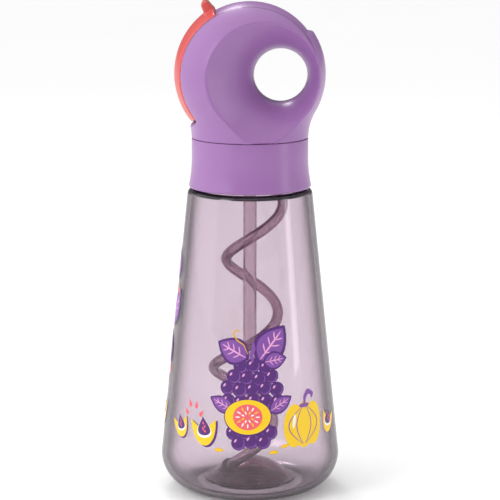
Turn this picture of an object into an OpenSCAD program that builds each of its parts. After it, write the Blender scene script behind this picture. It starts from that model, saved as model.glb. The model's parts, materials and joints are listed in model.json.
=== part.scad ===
// Children's water bottle: a clear tapered bottle, a screw collar, and a round
// head with a finger hole, a sliding cover and a flip-up spout on a spiral straw.
// Millimetres. The origin is the centre of the foot on the bottle's axis, +Z is up,
// and the finger hole runs along Y.

/* [Bottle] */
// Widest outer radius, just above the foot
belly_r = 40.3; // [33:0.1:49]
// Width of the shoulder around the neck
shoulder_w = 4.6; // [3.6:0.1:8]
// Height of the shoulder's top face
shoulder_z = 137.2; // [110:0.1:170]
// Radius of the rounded foot corner
foot_corner_r = 16; // [8:0.5:20]
// Radius of the rounded shoulder
shoulder_corner_r = 2.2; // [2.1:0.1:3]
// Wall of the bottle
bottle_wall = 2; // [1.4:0.1:2]
// Depth of the hollow under the floor
punt_depth = 0.6; // [0.3:0.1:1.5]
// Height of the neck above the shoulder
neck_h = 15.8; // [15:0.1:20]
// Outer radius of the neck, under its thread
neck_r = 23.4; // [22.8:0.1:24.2]
// Wall of the neck
neck_wall = 1.8; // [1.2:0.1:2.2]

/* [Screw thread] */
// Rise of the thread in one turn
thread_lead = 4.5; // [3.5:0.1:5]
// Height of the thread's ridge
thread_depth = 1; // [0.6:0.1:1.2]
// Turns of thread on the neck
thread_turns = 1.25; // [1:0.25:1.75]
// Radial gap between the two threads
thread_gap = 0.2; // [0.15:0.05:0.4]

/* [Collar] */
// Height of the collar
collar_h = 22; // [21:0.1:26]
// Wall of the collar outside its thread
collar_wall = 1.4; // [1:0.1:2.5]
// How far the lower edge flares out
collar_flare = 1.3; // [0.5:0.1:2]
// Gap between the collar and the bottle's shoulder
collar_gap = 0.8; // [0.4:0.1:1.5]

/* [Lid] */
// Thickness of the gasket on the rim
gasket_t = 1; // [0.8:0.1:1.5]
// Thickness of the base plate
plate_t = 2; // [1.6:0.1:2.4]
// Height of the plug skirt inside the neck
plug_h = 5; // [3:0.5:7]
// Wall of the plug skirt
plug_wall = 1.5; // [1.2:0.1:2]
// Gap at the seam between head and collar
seam_gap = 0.35; // [0.2:0.05:0.6]

/* [Head] */
// Radius of the ball
ball_r = 33.65; // [32:0.1:40]
// How far the ball's lowest point lies below the collar's top
ball_sink = 5; // [2:0.1:6]
// Wall of the head
head_wall = 2; // [1.5:0.1:2.2]
// Radius of the finger hole
hole_r = 11.9; // [10:0.1:12.5]
// Thickness of the ring outside the finger hole
ring_t = 8.15; // [7:0.05:9]
// Depth of the straight land in the finger hole
hole_land = 5; // [3:0.5:8]
// Growth of the flared mouths of the finger hole
horn_gain = 0.0868; // [0.05:0.002:0.095]
// Power of that growth
horn_power = 1.7; // [1.5:0.05:1.75]

/* [Slider] */
// Width of the sliding cover
slider_w = 27.2; // [20:0.1:29]
// Thickness of the sliding cover
slider_t = 1.5; // [1:0.1:1.8]
// Gap under and beside the sliding cover
slider_gap = 0.25; // [0.2:0.05:0.4]
// Angle of the cover's upper end, from the +X side
slider_top = 118.5; // [112:0.5:124]
// Angle of the cover's lower end
slider_end = 219; // [216:0.5:219]
// Travel of the cover in degrees
slider_travel = 82; // [60:1:82]
// Height of the thumb tab above the ball
tab_h = 4.55; // [3:0.1:7]
// Width of the thumb tab
tab_w = 16; // [10:0.5:20]

/* [Spout] */
// Length of the spout from its pivot
spout_len = 29; // [24:0.5:29]
// Outer radius of the spout
spout_r = 4; // [3.2:0.1:4.2]
// Radius of the channel through the spout
spout_bore_r = 1.9; // [1.2:0.1:2]
// Radius of the spout's pivot pins
pivot_pin_r = 1.5; // [1.2:0.1:2]
// Radial running clearance of the pivot pins
pivot_fit = 0.05; // [0.02:0.01:0.08]

/* [Straws] */
// Outer diameter of the straight air tube
vent_od = 6; // [5:0.1:6.4]
// Wall of the straight air tube
vent_wall = 0.5; // [0.4:0.1:0.8]
// Outer diameter of the spiral straw
spiral_od = 4.8; // [4:0.1:5.2]
// Bore of the spiral straw
spiral_id = 3; // [2:0.1:3.2]
// Coil radius near the bottom of the spiral
coil_low_r = 15; // [12:0.1:16]
// Outer radius of the bell foot
bell_r = 20.8; // [17:0.1:21]
// Height of the bell foot
bell_h = 10.5; // [8:0.1:13]

/* [Hidden] */
$fn = 64;
eps = 0.01;

// Colours of the moulded pieces
purple = "#a878b8";
coral = "#ef8582";
tinted = "#c8aebc66";
smoky = "#54343f";
soft_white = "#e9e4ea";
lilac = "#ad95aa";

// Heights up the bottle's axis
rim_z = shoulder_z + neck_h;
collar_z = shoulder_z + collar_gap;
collar_top = collar_z + collar_h;
plate_z = rim_z + gasket_t;
plate_top = plate_z + plate_t;
head_z = collar_top + seam_gap;
ball_lift = ball_r - ball_sink;
ball_z = collar_top + ball_lift;

// Fits between collar, neck and plate
neck_in_r = neck_r - neck_wall;
thread_root_r = neck_r + thread_depth + thread_gap;
collar_r = thread_root_r + collar_wall;
plate_r = thread_root_r - 0.7;
plug_r = neck_in_r - 0.7;
plug_in_r = plug_r - plug_wall;
lip_z = plate_top + 0.15;
skirt_r = plate_r - 1.6;
skirt_in_r = skirt_r - head_wall;
lip_in_r = skirt_r + 0.3;
weld_depth = 0.5;
ridge_foot = 1.7;
ridge_crest = 0.9;
neck_thread_z = rim_z - 3 - thread_lead * thread_turns;

// Outline of the bottle
foot_x = belly_r - foot_corner_r;
shoulder_x = neck_r + shoulder_w - shoulder_corner_r;
shoulder_corner_z = shoulder_z - shoulder_corner_r;
wall_slope = atan2(shoulder_corner_z - foot_corner_r, shoulder_x - foot_x)
    - acos((foot_corner_r - shoulder_corner_r)
        / norm([shoulder_x - foot_x, shoulder_corner_z - foot_corner_r]));
floor_z = bottle_wall + punt_depth;
edge = 0.4;

// Fillet that joins the ball to the head's neck without a crease
fillet_r = (pow(collar_r, 2) + pow(ball_lift, 2) - pow(ball_r, 2)) / (2 * (ball_r - collar_r));
fillet_sweep = atan(ball_lift / (collar_r + fillet_r));

// Finger hole, slider band and slot
hole_x = ball_r - hole_r - ring_t;
hole_z = ball_z - 0.55;
horn_reach = ball_r + 2;
floor_r = ball_r - slider_t - slider_gap;
slider_in_r = floor_r + slider_gap;
band_half = slider_w / 2 + slider_gap;
band_end = slider_end + 2;
band_start = slider_top - slider_travel - 0.5;
ramp_angle = 9;
slot_top = 165;
slot_half = spout_r + 1.2;
cavity_r = floor_r - head_wall;
cavity_edge = hole_x + 0.4;
tongue_w = 0.7;
tongue_root = 0.5;
tongue_t = 0.5;
tongue_gap = 0.2;
tongue_r = sqrt(pow(slider_in_r, 2) - pow(slider_w / 2, 2)) + 0.05;
tab_angle = 122.8;
tab_tip_r = 1.8;
tab_foot_r = 2.6;

// Spout pivot: under the head's wall, and as far out as the head's neck allows
knuckle_r = spout_r + 0.6;
knuckle_half = spout_r + 1.2;
ear_gap = 0.25;
ear_w = 2.6;
ear_half = knuckle_half + ear_gap + ear_w;
ear_r = 3.6;
pivot_x = -(skirt_in_r - knuckle_r - 1.1);
pivot_cover = 7.37;
pivot_z = ball_z - sqrt(pow(ball_r - pivot_cover, 2) - pow(pivot_x, 2));
spout_closed = 82;
spout_open = 150;
spout_gap = 0.6;
stem_r = spout_bore_r + 0.9;
stem_len = 12;
tip_r = spout_r - 0.6;
inlet_r = 1.5;

// Feed duct from the spiral straw's port, past the air valve, to the pivot
duct_h = 4.2;
duct_wall = 1.1;
duct_half = spiral_od / 2 + 0.7;
duct_gasket_t = 0.8;
grommet_wall = 0.8;
valve_r = vent_od / 2 + 0.6;
duct_z = plate_top + duct_gasket_t;
duct_top = duct_z + duct_h;
duct_offset = valve_r + duct_half + 0.3;
duct_angle = asin(duct_offset / -pivot_x);
port_margin = 5.4;
port_reach = plug_in_r - spiral_od / 2 - port_margin;
port_run = sqrt(pow(port_reach, 2) - pow(duct_offset, 2));
port_x = port_run * cos(duct_angle) - duct_offset * sin(duct_angle);
port_y = port_run * sin(duct_angle) + duct_offset * cos(duct_angle);
duct_len = norm([port_x - pivot_x, port_y]);
bridge_t = 0.7;
grommet_h = plate_t + 5;

// Spiral straw: it leans, so its coil's centre moves as it goes down
coil_turns = 2.6;
coil_pitch = (rim_z - 22.5) / coil_turns;
coil_top_z = rim_z - 7;
coil_low_z = 30;
coil_end_z = 8.4;
coil_low_x = -4.4;
coil_end_r = 11.7;
coil_ease = 6;
coil_steps = 24;

// Bell foot, just above the floor
bell_z = floor_z + 0.3;
bell_t = 1.4;
bell_flange_t = 1.2;
bell_dome_r = bell_r - 1.6;
intake_count = 4;

// ---------------------------------------------------------------- outlines

// Points along an arc, from angle a to angle b
function arc(cx, cy, r, a, b, n = 12) =
    [for (i = [0:n]) [cx + r * cos(a + (b - a) * i / n), cy + r * sin(a + (b - a) * i / n)]];

// A wedge that reaches past radius r, between two angles
module wedge(r, a, b) {
    polygon(concat([[0, 0]], arc(0, 0, 1.5 * r, a, b, 5)));
}

// A piece of a flat ring, between two angles
module ring_sector(r_out, r_in, a, b) {
    intersection() {
        difference() {
            circle(r_out);
            circle(r_in);
        }
        wedge(r_out, a, b);
    }
}

// Stands a flat XZ outline upright and gives it a width along Y
module upright(width) {
    rotate([90, 0, 0]) linear_extrude(width, center = true) children();
}

// Stands a flat XZ outline upright on both sides, between two distances from the middle
module beside(inner, outer) {
    for (side = [-1, 1]) translate([0, side * (inner + outer) / 2, 0]) upright(outer - inner) children();
}

// A straight ring about Z
module ring(r_out, r_in, h) {
    difference() {
        cylinder(h = h, r = r_out);
        translate([0, 0, -1]) cylinder(h = h + 2, r = r_in);
    }
}

// ---------------------------------------------------------------- sweeps

function unit(v) = v / norm(v);

// Closed ring of points about p, square to direction d, counted from direction ref
function ring_points(p, d, ref, r, sides) =
    let (w = unit(cross(d, ref)), u = cross(w, d))
    [for (k = [0:sides - 1]) p + r * (cos(360 * k / sides) * u + sin(360 * k / sides) * w)];

function heading(path, i) =
    unit(path[min(i + 1, len(path) - 1)] - path[max(i - 1, 0)]);

// A tube along a path, with a bore from end to end; refs gives a sideways direction at each point
module tube_along(path, refs, r_out, r_in, sides = 10) {
    n = len(path);
    points = [for (r = [r_out, r_in]) for (i = [0:n - 1])
        each ring_points(path[i], heading(path, i), refs[i], r, sides)];
    inner = n * sides;
    last = inner - sides;
    outer_faces = [for (i = [0:n - 2]) for (k = [0:sides - 1])
        let (j = (k + 1) % sides, a = i * sides, b = a + sides) each [[a + j, b + j, b + k], [a + j, b + k, a + k]]];
    inner_faces = [for (f = outer_faces) [inner + f[2], inner + f[1], inner + f[0]]];
    end_faces = [for (k = [0:sides - 1]) let (j = (k + 1) % sides) each [
        [inner + k, inner + j, j, k],
        [inner + last + j, inner + last + k, last + k, last + j]]];
    polyhedron(points = points, faces = concat(outer_faces, inner_faces, end_faces), convexity = 10);
}

// One screw ridge on radius r: it climbs a lead per turn, and a negative depth points inwards
module screw_ridge(r, depth, z0, turns, start, steps = 30) {
    n = ceil(turns * steps);
    root = -0.25 * sign(depth);
    outline = [[root, -ridge_foot / 2], [depth, -ridge_crest / 2], [depth, ridge_crest / 2],
        [root, ridge_foot / 2]];
    points = [for (i = [0:n]) let (t = i / n, a = start + 360 * turns * t,
            fade = min(1, 8 * min(t, 1 - t) + 0.15))
        for (q = outline) let (rr = r + (q[0] * depth > 0 ? q[0] * fade : q[0]))
            [rr * cos(a), rr * sin(a), z0 + thread_lead * turns * t + q[1]]];
    sides = [for (i = [0:n - 1]) for (k = [0:3]) let (j = (k + 1) % 4)
        depth > 0 ? [4 * i + k, 4 * i + j, 4 * i + 4 + j, 4 * i + 4 + k]
                  : [4 * i + 4 + k, 4 * i + 4 + j, 4 * i + j, 4 * i + k]];
    caps = depth > 0 ? [[3, 2, 1, 0], [4 * n, 4 * n + 1, 4 * n + 2, 4 * n + 3]]
                     : [[0, 1, 2, 3], [4 * n + 3, 4 * n + 2, 4 * n + 1, 4 * n]];
    polyhedron(points = points, faces = concat(sides, caps), convexity = 6);
}

// ---------------------------------------------------------------- bottle

// Outside of the bottle's wall, or its inside when inset by the wall
function wall_outline(inset) = concat(
    arc(foot_x, foot_corner_r, foot_corner_r - inset, -90, wall_slope, 14),
    arc(shoulder_x, shoulder_corner_z, shoulder_corner_r - inset, wall_slope, 90, 5));

function reversed(list) = [for (i = [len(list) - 1:-1:0]) list[i]];

module bottle_body() {
    punt_r = foot_x - 6;
    outside = concat([[0, punt_depth], [punt_r - 2, punt_depth], [punt_r, 0]], wall_outline(0));
    mouth = [[neck_r, shoulder_z], [neck_r, rim_z - edge], [neck_r - edge, rim_z],
        [neck_in_r + edge, rim_z], [neck_in_r, rim_z - edge], [neck_in_r, shoulder_z - bottle_wall]];
    inside = concat(reversed(wall_outline(bottle_wall)),
        [[punt_r, bottle_wall], [punt_r - 2, floor_z], [0, floor_z]]);
    color(tinted) {
        rotate_extrude() polygon(concat(outside, mouth, inside));
        screw_ridge(neck_r, thread_depth, neck_thread_z, thread_turns, 0);
    }
}

// ---------------------------------------------------------------- collar

module collar() {
    flare_h = collar_h - 9;
    flare_curve = (pow(flare_h, 2) + pow(collar_flare, 2)) / (2 * collar_flare);
    flare_sweep = asin(flare_h / flare_curve);
    lower_edge = 0.8;
    outer_low_r = collar_r + collar_flare;
    outline = concat(
        arc(outer_low_r - lower_edge, collar_z + lower_edge, lower_edge, -90, 0, 5),
        reversed(arc(collar_r + flare_curve, collar_z + 1 + flare_h, flare_curve, 180, 180 + flare_sweep, 8)),
        [[collar_r, collar_top - edge], [collar_r - edge, collar_top], [lip_in_r, collar_top],
            [lip_in_r, lip_z], [thread_root_r, lip_z], [thread_root_r, collar_z + edge],
            [thread_root_r + edge, collar_z]]);
    color(purple) {
        rotate_extrude() polygon(outline);
        screw_ridge(thread_root_r, -thread_depth + 0.05, neck_thread_z, 1, 180);
    }
}

// ---------------------------------------------------------------- lid, inside the collar

module lid_gasket() {
    color(soft_white) translate([0, 0, rim_z]) ring(neck_r - 0.2, plug_r + 0.3, gasket_t);
}

module base_plate() {
    color(purple) difference() {
        union() {
            translate([0, 0, plate_z]) cylinder(h = plate_t, r = plate_r);
            translate([0, 0, plate_z - plug_h]) ring(plug_r, plug_in_r, plug_h + eps);
        }
        translate([0, 0, plate_top - weld_depth]) ring(skirt_r + 0.05, skirt_in_r - 0.05, plate_t);
        translate([0, 0, plate_z - 1]) cylinder(h = plate_t + 2, r = vent_od / 2 + grommet_wall);
        translate([port_x, port_y, plate_z - 1]) cylinder(h = plate_t + 2, r = spiral_od / 2 + grommet_wall);
    }
}

module grommet(x, y, tube_r) {
    color(soft_white) translate([x, y, plate_top - grommet_h]) ring(tube_r + grommet_wall, tube_r, grommet_h);
}

module vent_grommet() {
    grommet(0, 0, vent_od / 2);
}

module straw_grommet() {
    grommet(port_x, port_y, spiral_od / 2);
}

// Duckbill that lets air in and holds the drink back
module vent_valve() {
    bill_h = 2.2;
    flange_t = 0.7;
    bore_r = 1.4;
    color(soft_white) translate([0, 0, plate_top]) difference() {
        union() {
            cylinder(h = flange_t, r = valve_r);
            translate([0, 0, flange_t - eps]) cylinder(h = bill_h, r1 = valve_r - 0.8, r2 = bore_r + 0.5);
        }
        translate([0, 0, -1]) cylinder(h = flange_t + bill_h + 2, r = bore_r - 0.6);
        translate([0, 0, -1]) cylinder(h = flange_t + 2, r = bore_r);
    }
}

module vent_straw() {
    low_z = bell_z + bell_h + 2.6;
    color(lilac) translate([0, 0, low_z]) ring(vent_od / 2, vent_od / 2 - vent_wall, plate_z - low_z);
}

// ---------------------------------------------------------------- feed duct and pivot

// A round-ended strip from the pivot to the straw's port
module strip(half) {
    translate([pivot_x, 0]) rotate(duct_angle) {
        circle(half);
        translate([duct_len, 0]) circle(half);
        translate([0, -half]) square([duct_len, 2 * half]);
    }
}

module port_hole(r, h) {
    translate([port_x, port_y, -1]) cylinder(h = h + 2, r = r);
}

module duct_gasket() {
    color(soft_white) translate([0, 0, plate_top]) difference() {
        linear_extrude(duct_gasket_t) strip(duct_half);
        port_hole(spiral_od / 2, duct_gasket_t);
    }
}

module feed_duct() {
    channel_h = duct_h - 2 * duct_wall;
    color(soft_white) translate([0, 0, duct_z]) difference() {
        linear_extrude(duct_h) strip(duct_half);
        translate([0, 0, duct_wall]) linear_extrude(channel_h) strip(duct_half - duct_wall);
        port_hole(spiral_id / 2 + 0.2, duct_wall - 0.5);
        translate([pivot_x, 0, duct_h / 2]) cylinder(h = duct_h, r = spout_bore_r);
    }
}

module spout_seal() {
    seal_top = pivot_z - knuckle_r + 0.6;
    color(soft_white) difference() {
        translate([pivot_x, 0, duct_top]) ring(spout_bore_r + 1.5, spout_bore_r, seal_top - duct_top);
        translate([pivot_x, 0, pivot_z]) rotate([90, 0, 0])
            cylinder(h = 4 * spout_r, r = knuckle_r + 0.05, center = true);
    }
}

// Two ears on a bridge over the duct, which carry the pivot pins
module spout_saddle() {
    foot_half = 2.2;
    color(purple) difference() {
        union() {
            for (side = [-1, 1]) translate([pivot_x, side * (ear_half - ear_w / 2), 0]) {
                translate([0, 0, pivot_z]) rotate([90, 0, 0]) cylinder(h = ear_w, r = ear_r, center = true);
                translate([-ear_r, -ear_w / 2, duct_top]) cube([2 * ear_r, ear_w, pivot_z - duct_top]);
                translate([-foot_half, -ear_w / 2, plate_top])
                    cube([2 * foot_half, ear_w, duct_top - plate_top + eps]);
            }
            translate([pivot_x - ear_r, -ear_half, duct_top]) cube([2 * ear_r, 2 * ear_half, bridge_t]);
        }
        translate([pivot_x, 0, duct_top - 1]) cylinder(h = bridge_t + 2, r = spout_bore_r + 1.55);
        translate([pivot_x, 0, pivot_z]) rotate([90, 0, 0]) {
            cylinder(h = 2 * ear_half + 2, r = pivot_pin_r + pivot_fit, center = true);
            cylinder(h = 2 * (knuckle_half + ear_gap), r = knuckle_r + 0.3, center = true);
        }
    }
}

// Places its children at the pivot with the spout's length along Z
module at_spout(angle = spout_closed) {
    translate([pivot_x, 0, pivot_z]) rotate([0, 90 - angle, 0]) children();
}

module spout_carrier() {
    inlet_turn = 270 - spout_open;
    color(purple) difference() {
        union() {
            at_spout() rotate([90, 0, 0]) {
                cylinder(h = 2 * knuckle_half, r = knuckle_r, center = true);
                cylinder(h = 2 * ear_half - 0.1, r = pivot_pin_r, center = true);
            }
            at_spout() cylinder(h = stem_len, r = stem_r);
        }
        at_spout() cylinder(h = stem_len + 1, r = spout_bore_r);
        at_spout(spout_closed + inlet_turn) cylinder(h = knuckle_r + 1, r = inlet_r);
    }
}

// Soft mouthpiece pushed over the carrier's stem
module spout() {
    taper_len = 8;
    outline = concat(
        [[stem_r, knuckle_r + 0.4], [spout_r - 0.3, knuckle_r + 0.4], [spout_r, knuckle_r + 0.8],
            [spout_r, spout_len - taper_len - tip_r]],
        arc(tip_r - 1.2, spout_len - 1.2, 1.2, 0, 90, 5),
        [[spout_bore_r, spout_len], [spout_bore_r, stem_len], [stem_r, stem_len]]);
    color(soft_white) at_spout() rotate_extrude() polygon(outline);
}

// ---------------------------------------------------------------- spiral straw

// Blends from a to b as t goes from 0 to 1
function mix(a, b, t) = a + (b - a) * t;

// Turn of the coil at distance s below its top, easing in from straight down
function coil_turn(s) = 360 / coil_pitch * (s < coil_ease ? s * s / (2 * coil_ease) : s - coil_ease / 2);

// Centre line and outward direction of the straw at height z
function coil_angle(z) = 90 - coil_turn(coil_top_z - z);
function coil_out(z) = [cos(coil_angle(z)), sin(coil_angle(z)), 0];
function coil_point(z) =
    let (t = (coil_top_z - max(z, coil_low_z)) / (coil_top_z - coil_low_z),
        tail = max(0, coil_low_z - z) / (coil_low_z - coil_end_z),
        r = mix(mix(port_y, coil_low_r, t), coil_end_r, tail),
        x = mix(mix(port_x, coil_low_x, t), 0, tail))
    [x, 0, z] + r * coil_out(z);

coil_heights = let (n = ceil(coil_steps * (coil_top_z - coil_end_z) / coil_pitch))
    [for (i = [0:n]) mix(coil_top_z, coil_end_z, i / n)];

module spiral_straw() {
    path = concat([[port_x, port_y, plate_top]], [for (z = coil_heights) coil_point(z)]);
    color(tinted) tube_along(path, concat([[0, 1, 0]], [for (z = coil_heights) coil_out(z)]),
        spiral_od / 2, spiral_id / 2);
}

module bell_foot() {
    dome_curve = (pow(bell_dome_r, 2) + pow(bell_h, 2)) / (2 * bell_h);
    centre_z = bell_z + bell_h - dome_curve;
    inner_r = dome_curve - bell_t;
    rim_in_r = sqrt(pow(inner_r, 2) - pow(bell_z - centre_z, 2));
    end = coil_point(coil_end_z);
    down = unit(coil_point(coil_end_z) - coil_point(coil_end_z + 3));
    lean = acos(-down[2]);
    heading_z = atan2(-down[1], -down[0]);
    color(smoky) difference() {
        union() {
            intersection() {
                translate([0, 0, bell_z]) cylinder(h = bell_h + 1, r = bell_r);
                union() {
                    translate([0, 0, centre_z]) sphere(dome_curve);
                    translate([0, 0, bell_z]) cylinder(h = bell_flange_t, r = bell_r);
                }
            }
            translate(end) rotate([0, lean, heading_z]) cylinder(h = 5, r = spiral_od / 2 + 1.2);
        }
        translate([0, 0, centre_z]) sphere(inner_r);
        translate(end) rotate([0, lean, heading_z]) translate([0, 0, -2]) cylinder(h = 9, r = spiral_od / 2 + 0.05);
        for (i = [0:intake_count - 1]) rotate(45 + 360 * i / intake_count)
            translate([rim_in_r - 2, -2, bell_z - 1]) cube([bell_r, 4, 1.7]);
    }
}

// ---------------------------------------------------------------- head

// Solid of revolution about the finger hole, grown by a margin
module horn(margin) {
    half = hole_land / 2;
    steps = 14;
    mouth = [for (i = [0:steps]) let (y = mix(half, horn_reach, i / steps))
        [hole_r + margin + horn_gain * pow(y - half, horn_power), y]];
    outline = concat([[0, -horn_reach]], reversed([for (p = mouth) [p[0], -p[1]]]), mouth, [[0, horn_reach]]);
    translate([hole_x, 0, hole_z]) rotate([90, 0, 0]) rotate_extrude() polygon(outline);
}

module head_outside() {
    neck_side = arc(collar_r + fillet_r, collar_top, fillet_r, 180, 180 - fillet_sweep, 10);
    meet_z = neck_side[len(neck_side) - 1][1];
    rotate_extrude() {
        polygon(concat([[0, head_z], [collar_r - edge, head_z], [collar_r, head_z + edge]],
            [for (i = [1:len(neck_side) - 1]) neck_side[i]], [[0, meet_z]]));
        translate([0, ball_z]) intersection() {
            circle(ball_r);
            translate([0, -ball_r]) square([ball_r, 2 * ball_r]);
        }
    }
    translate([0, 0, plate_top - weld_depth]) cylinder(h = head_z - plate_top + weld_depth + 1, r = skirt_r);
}

// Recess over the top and down the spout's side, where the cover slides
module slider_band() {
    ramp_r = floor_r - 0.5;
    outline = concat([[0, 0]], [[ramp_r * cos(band_start), ramp_r * sin(band_start)]],
        arc(0, 0, 1.3 * ball_r, band_start - ramp_angle, band_end, 6));
    translate([0, 0, ball_z]) difference() {
        upright(2 * band_half) polygon(outline);
        sphere(floor_r);
    }
    translate([0, 0, ball_z]) beside(band_half - tongue_gap, band_half + tongue_w)
        ring_sector(tongue_r + tongue_t + tongue_gap, tongue_r - tongue_gap, band_start + edge, band_end - 2 * edge);
}

// Way out for the spout, from its slot in the floor down to its open direction
module spout_way() {
    half = spout_r + spout_gap;
    translate([0, 0, ball_z]) upright(2 * slot_half) {
        ring_sector(ball_r + 1, cavity_r - 2, slot_top, slider_end - 0.5);
        translate([pivot_x, pivot_z - ball_z]) rotate(spout_open) translate([0, -half])
            square([spout_len, 2 * half]);
    }
}

module head_cavity() {
    difference() {
        union() {
            intersection() {
                translate([0, 0, ball_z]) sphere(cavity_r);
                translate([cavity_edge - 4 * ball_r, -2 * ball_r, plate_top]) cube([4 * ball_r, 4 * ball_r, 4 * ball_r]);
            }
            translate([0, 0, plate_top - 1]) cylinder(h = ball_z - plate_top - 19, r = skirt_in_r);
        }
        horn(head_wall);
    }
}

module head_shell() {
    color(purple) difference() {
        difference() {
            difference() {
                head_outside();
                head_cavity();
            }
            horn(0);
        }
        slider_band();
        spout_way();
    }
}

// ---------------------------------------------------------------- sliding cover

module slider_cover() {
    tip = (ball_r + tab_h - tab_tip_r) * [cos(tab_angle), sin(tab_angle)];
    foot = (ball_r - 0.6) * [cos(tab_angle - 1), sin(tab_angle - 1)];
    along = atan2(tip[1] - foot[1], tip[0] - foot[0]);
    spread = acos((tab_foot_r - tab_tip_r) / norm(tip - foot));
    tab = concat(arc(tip[0], tip[1], tab_tip_r, along - spread, along + spread, 10),
        arc(foot[0], foot[1], tab_foot_r, along + spread, along + 360 - spread, 10));
    color(coral) translate([0, 0, ball_z]) {
        difference() {
            union() {
                intersection() {
                    sphere(ball_r);
                    upright(slider_w) wedge(ball_r, slider_top, slider_end);
                }
                upright(tab_w) polygon(tab);
            }
            sphere(slider_in_r);
        }
        beside(slider_w / 2 - tongue_root, slider_w / 2 + tongue_w)
            ring_sector(tongue_r + tongue_t, tongue_r, slider_top + 1, slider_end - 1);
    }
}

bottle_body();
collar();
lid_gasket();
base_plate();
head_shell();
slider_cover();
spout();
spout_carrier();
spout_saddle();
spout_seal();
feed_duct();
duct_gasket();
vent_valve();
vent_grommet();
vent_straw();
straw_grommet();
spiral_straw();
bell_foot();
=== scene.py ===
"""Looks of a children's water bottle: a clear tapered bottle with a printed band, a purple
screw collar, and a round head with a finger hole, a sliding coral cover and a folding spout.
Everything is in metres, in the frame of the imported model."""

import json
import math

import bpy
import numpy as np
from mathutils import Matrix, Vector


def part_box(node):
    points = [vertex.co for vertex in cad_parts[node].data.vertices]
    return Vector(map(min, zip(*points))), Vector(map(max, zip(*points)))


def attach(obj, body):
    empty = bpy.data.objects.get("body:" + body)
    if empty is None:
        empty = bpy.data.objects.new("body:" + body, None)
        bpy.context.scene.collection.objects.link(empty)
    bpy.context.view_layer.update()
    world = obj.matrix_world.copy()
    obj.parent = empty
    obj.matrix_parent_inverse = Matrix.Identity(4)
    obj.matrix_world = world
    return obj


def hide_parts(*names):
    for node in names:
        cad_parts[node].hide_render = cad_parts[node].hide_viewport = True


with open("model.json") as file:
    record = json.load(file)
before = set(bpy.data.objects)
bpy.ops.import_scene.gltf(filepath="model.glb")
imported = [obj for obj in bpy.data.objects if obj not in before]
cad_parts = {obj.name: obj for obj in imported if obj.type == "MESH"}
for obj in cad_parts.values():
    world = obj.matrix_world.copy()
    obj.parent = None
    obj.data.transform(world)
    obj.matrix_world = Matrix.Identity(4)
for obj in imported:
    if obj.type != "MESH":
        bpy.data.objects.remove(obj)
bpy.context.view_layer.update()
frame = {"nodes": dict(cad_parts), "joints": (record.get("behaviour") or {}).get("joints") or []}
MM = 0.001


# ------------------------------------------------------------------ sizes, in millimetres

def node_box(node):
    """Lowest and highest corner of a CAD node."""
    low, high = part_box(node)
    return low / MM, high / MM


joints = {joint["name"]: joint for joint in frame["joints"]}
bottle_high = node_box("bottle_body")[1]
collar_low, collar_high = node_box("collar")
head_low, head_high = node_box("head_shell")
plate_high = node_box("base_plate")[1]

# Bottle
BELLY_R = bottle_high.x
RIM_Z = bottle_high.z
FOOT_CORNER = 16.0
WALL = 2.0
PUNT = 0.6
NECK_R = 23.4
NECK_WALL = 1.8
SHOULDER_R = 28.0
SHOULDER_CORNER = 2.2
COLLAR_GAP = 0.8
SHOULDER_Z = collar_low.z - COLLAR_GAP

# Collar
COLLAR_R = 26.0
COLLAR_TOP = collar_high.z
COLLAR_BORE_R = 22.6
THREAD_ROOM = 1.2

# Head, with the finger hole and its flared mouths
BALL_R = head_high.x
BALL_Z = joints["slider_turn"]["pos_m"][2] / MM
HEAD_WALL = 2.0
HOLE_R = 11.9
RING_T = 8.15
HOLE_X = BALL_R - HOLE_R - RING_T
HOLE_Z = BALL_Z - 0.55
HORN_LAND = 2.5
HORN_GAIN = 0.0868
HORN_POWER = 1.7
FILLET_R = (COLLAR_R ** 2 + (BALL_Z - COLLAR_TOP) ** 2 - BALL_R ** 2) / (2 * (BALL_R - COLLAR_R))
SEAM_Z = head_low.z + 4.75
SKIRT_R = 21.3
SKIRT_HALF = 1.0
SEAM_ROUND = 0.2
MOUTH_ROUND = 0.6
INSIDE_ROUND = 0.8
HEAD_VOXEL = 0.62

# Sliding cover and the band that it runs in
SLIDER_GAP = 0.25
SLIDER_T = 1.5
FLOOR_R = BALL_R - SLIDER_T - SLIDER_GAP
CAVITY_R = FLOOR_R - HEAD_WALL
SLIDER_IN_R = FLOOR_R + SLIDER_GAP
SLIDER_HALF = 13.6
SLIDER_TOP = 119.4
SLIDER_END = 219
BAND_HALF = SLIDER_HALF + SLIDER_GAP
BAND_START = 15
BAND_END = SLIDER_END + 2
RAMP_FOOT = 36
RAMP_TIP = 27
TAB_ANGLE = 122.8
TAB_HALF = 8.0
TAB_RISE = 4.55
TAB_TIP_R = 1.8
TAB_FOOT_R = 2.4
TAB_ROUND = 1.1
TAB_FILLET = 1.4
FLOOR_ROUND = 0.5
BAND_ROUND = 0.45
COVER_ROUND = 0.9
COVER_VOXEL = 0.32

# Slot and channel for the spout
SPOUT_LEN = 29.0
SPOUT_OPEN = 150
PIVOT_X = joints["spout_fold"]["pos_m"][0] / MM
PIVOT_Z = joints["spout_fold"]["pos_m"][2] / MM
SLOT_HALF = 5.2
SLOT_TOP = 165
CHANNEL_HALF = 4.6

# Spiral straw
SPIRAL_R = 2.4
SPIRAL_WALL = 0.9
PORT_X, PORT_Y = 4.76, 10.57
COIL_TURNS = 2.6
COIL_PITCH = (RIM_Z - 22.5) / COIL_TURNS
COIL_TOP, COIL_LOW, COIL_END = RIM_Z - 7, 30.0, 8.4
COIL_LOW_X, COIL_LOW_R, COIL_END_R = -4.4, 15.0, 11.7
COIL_EASE = 6.0


# ------------------------------------------------------------------ shader maths

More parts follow.
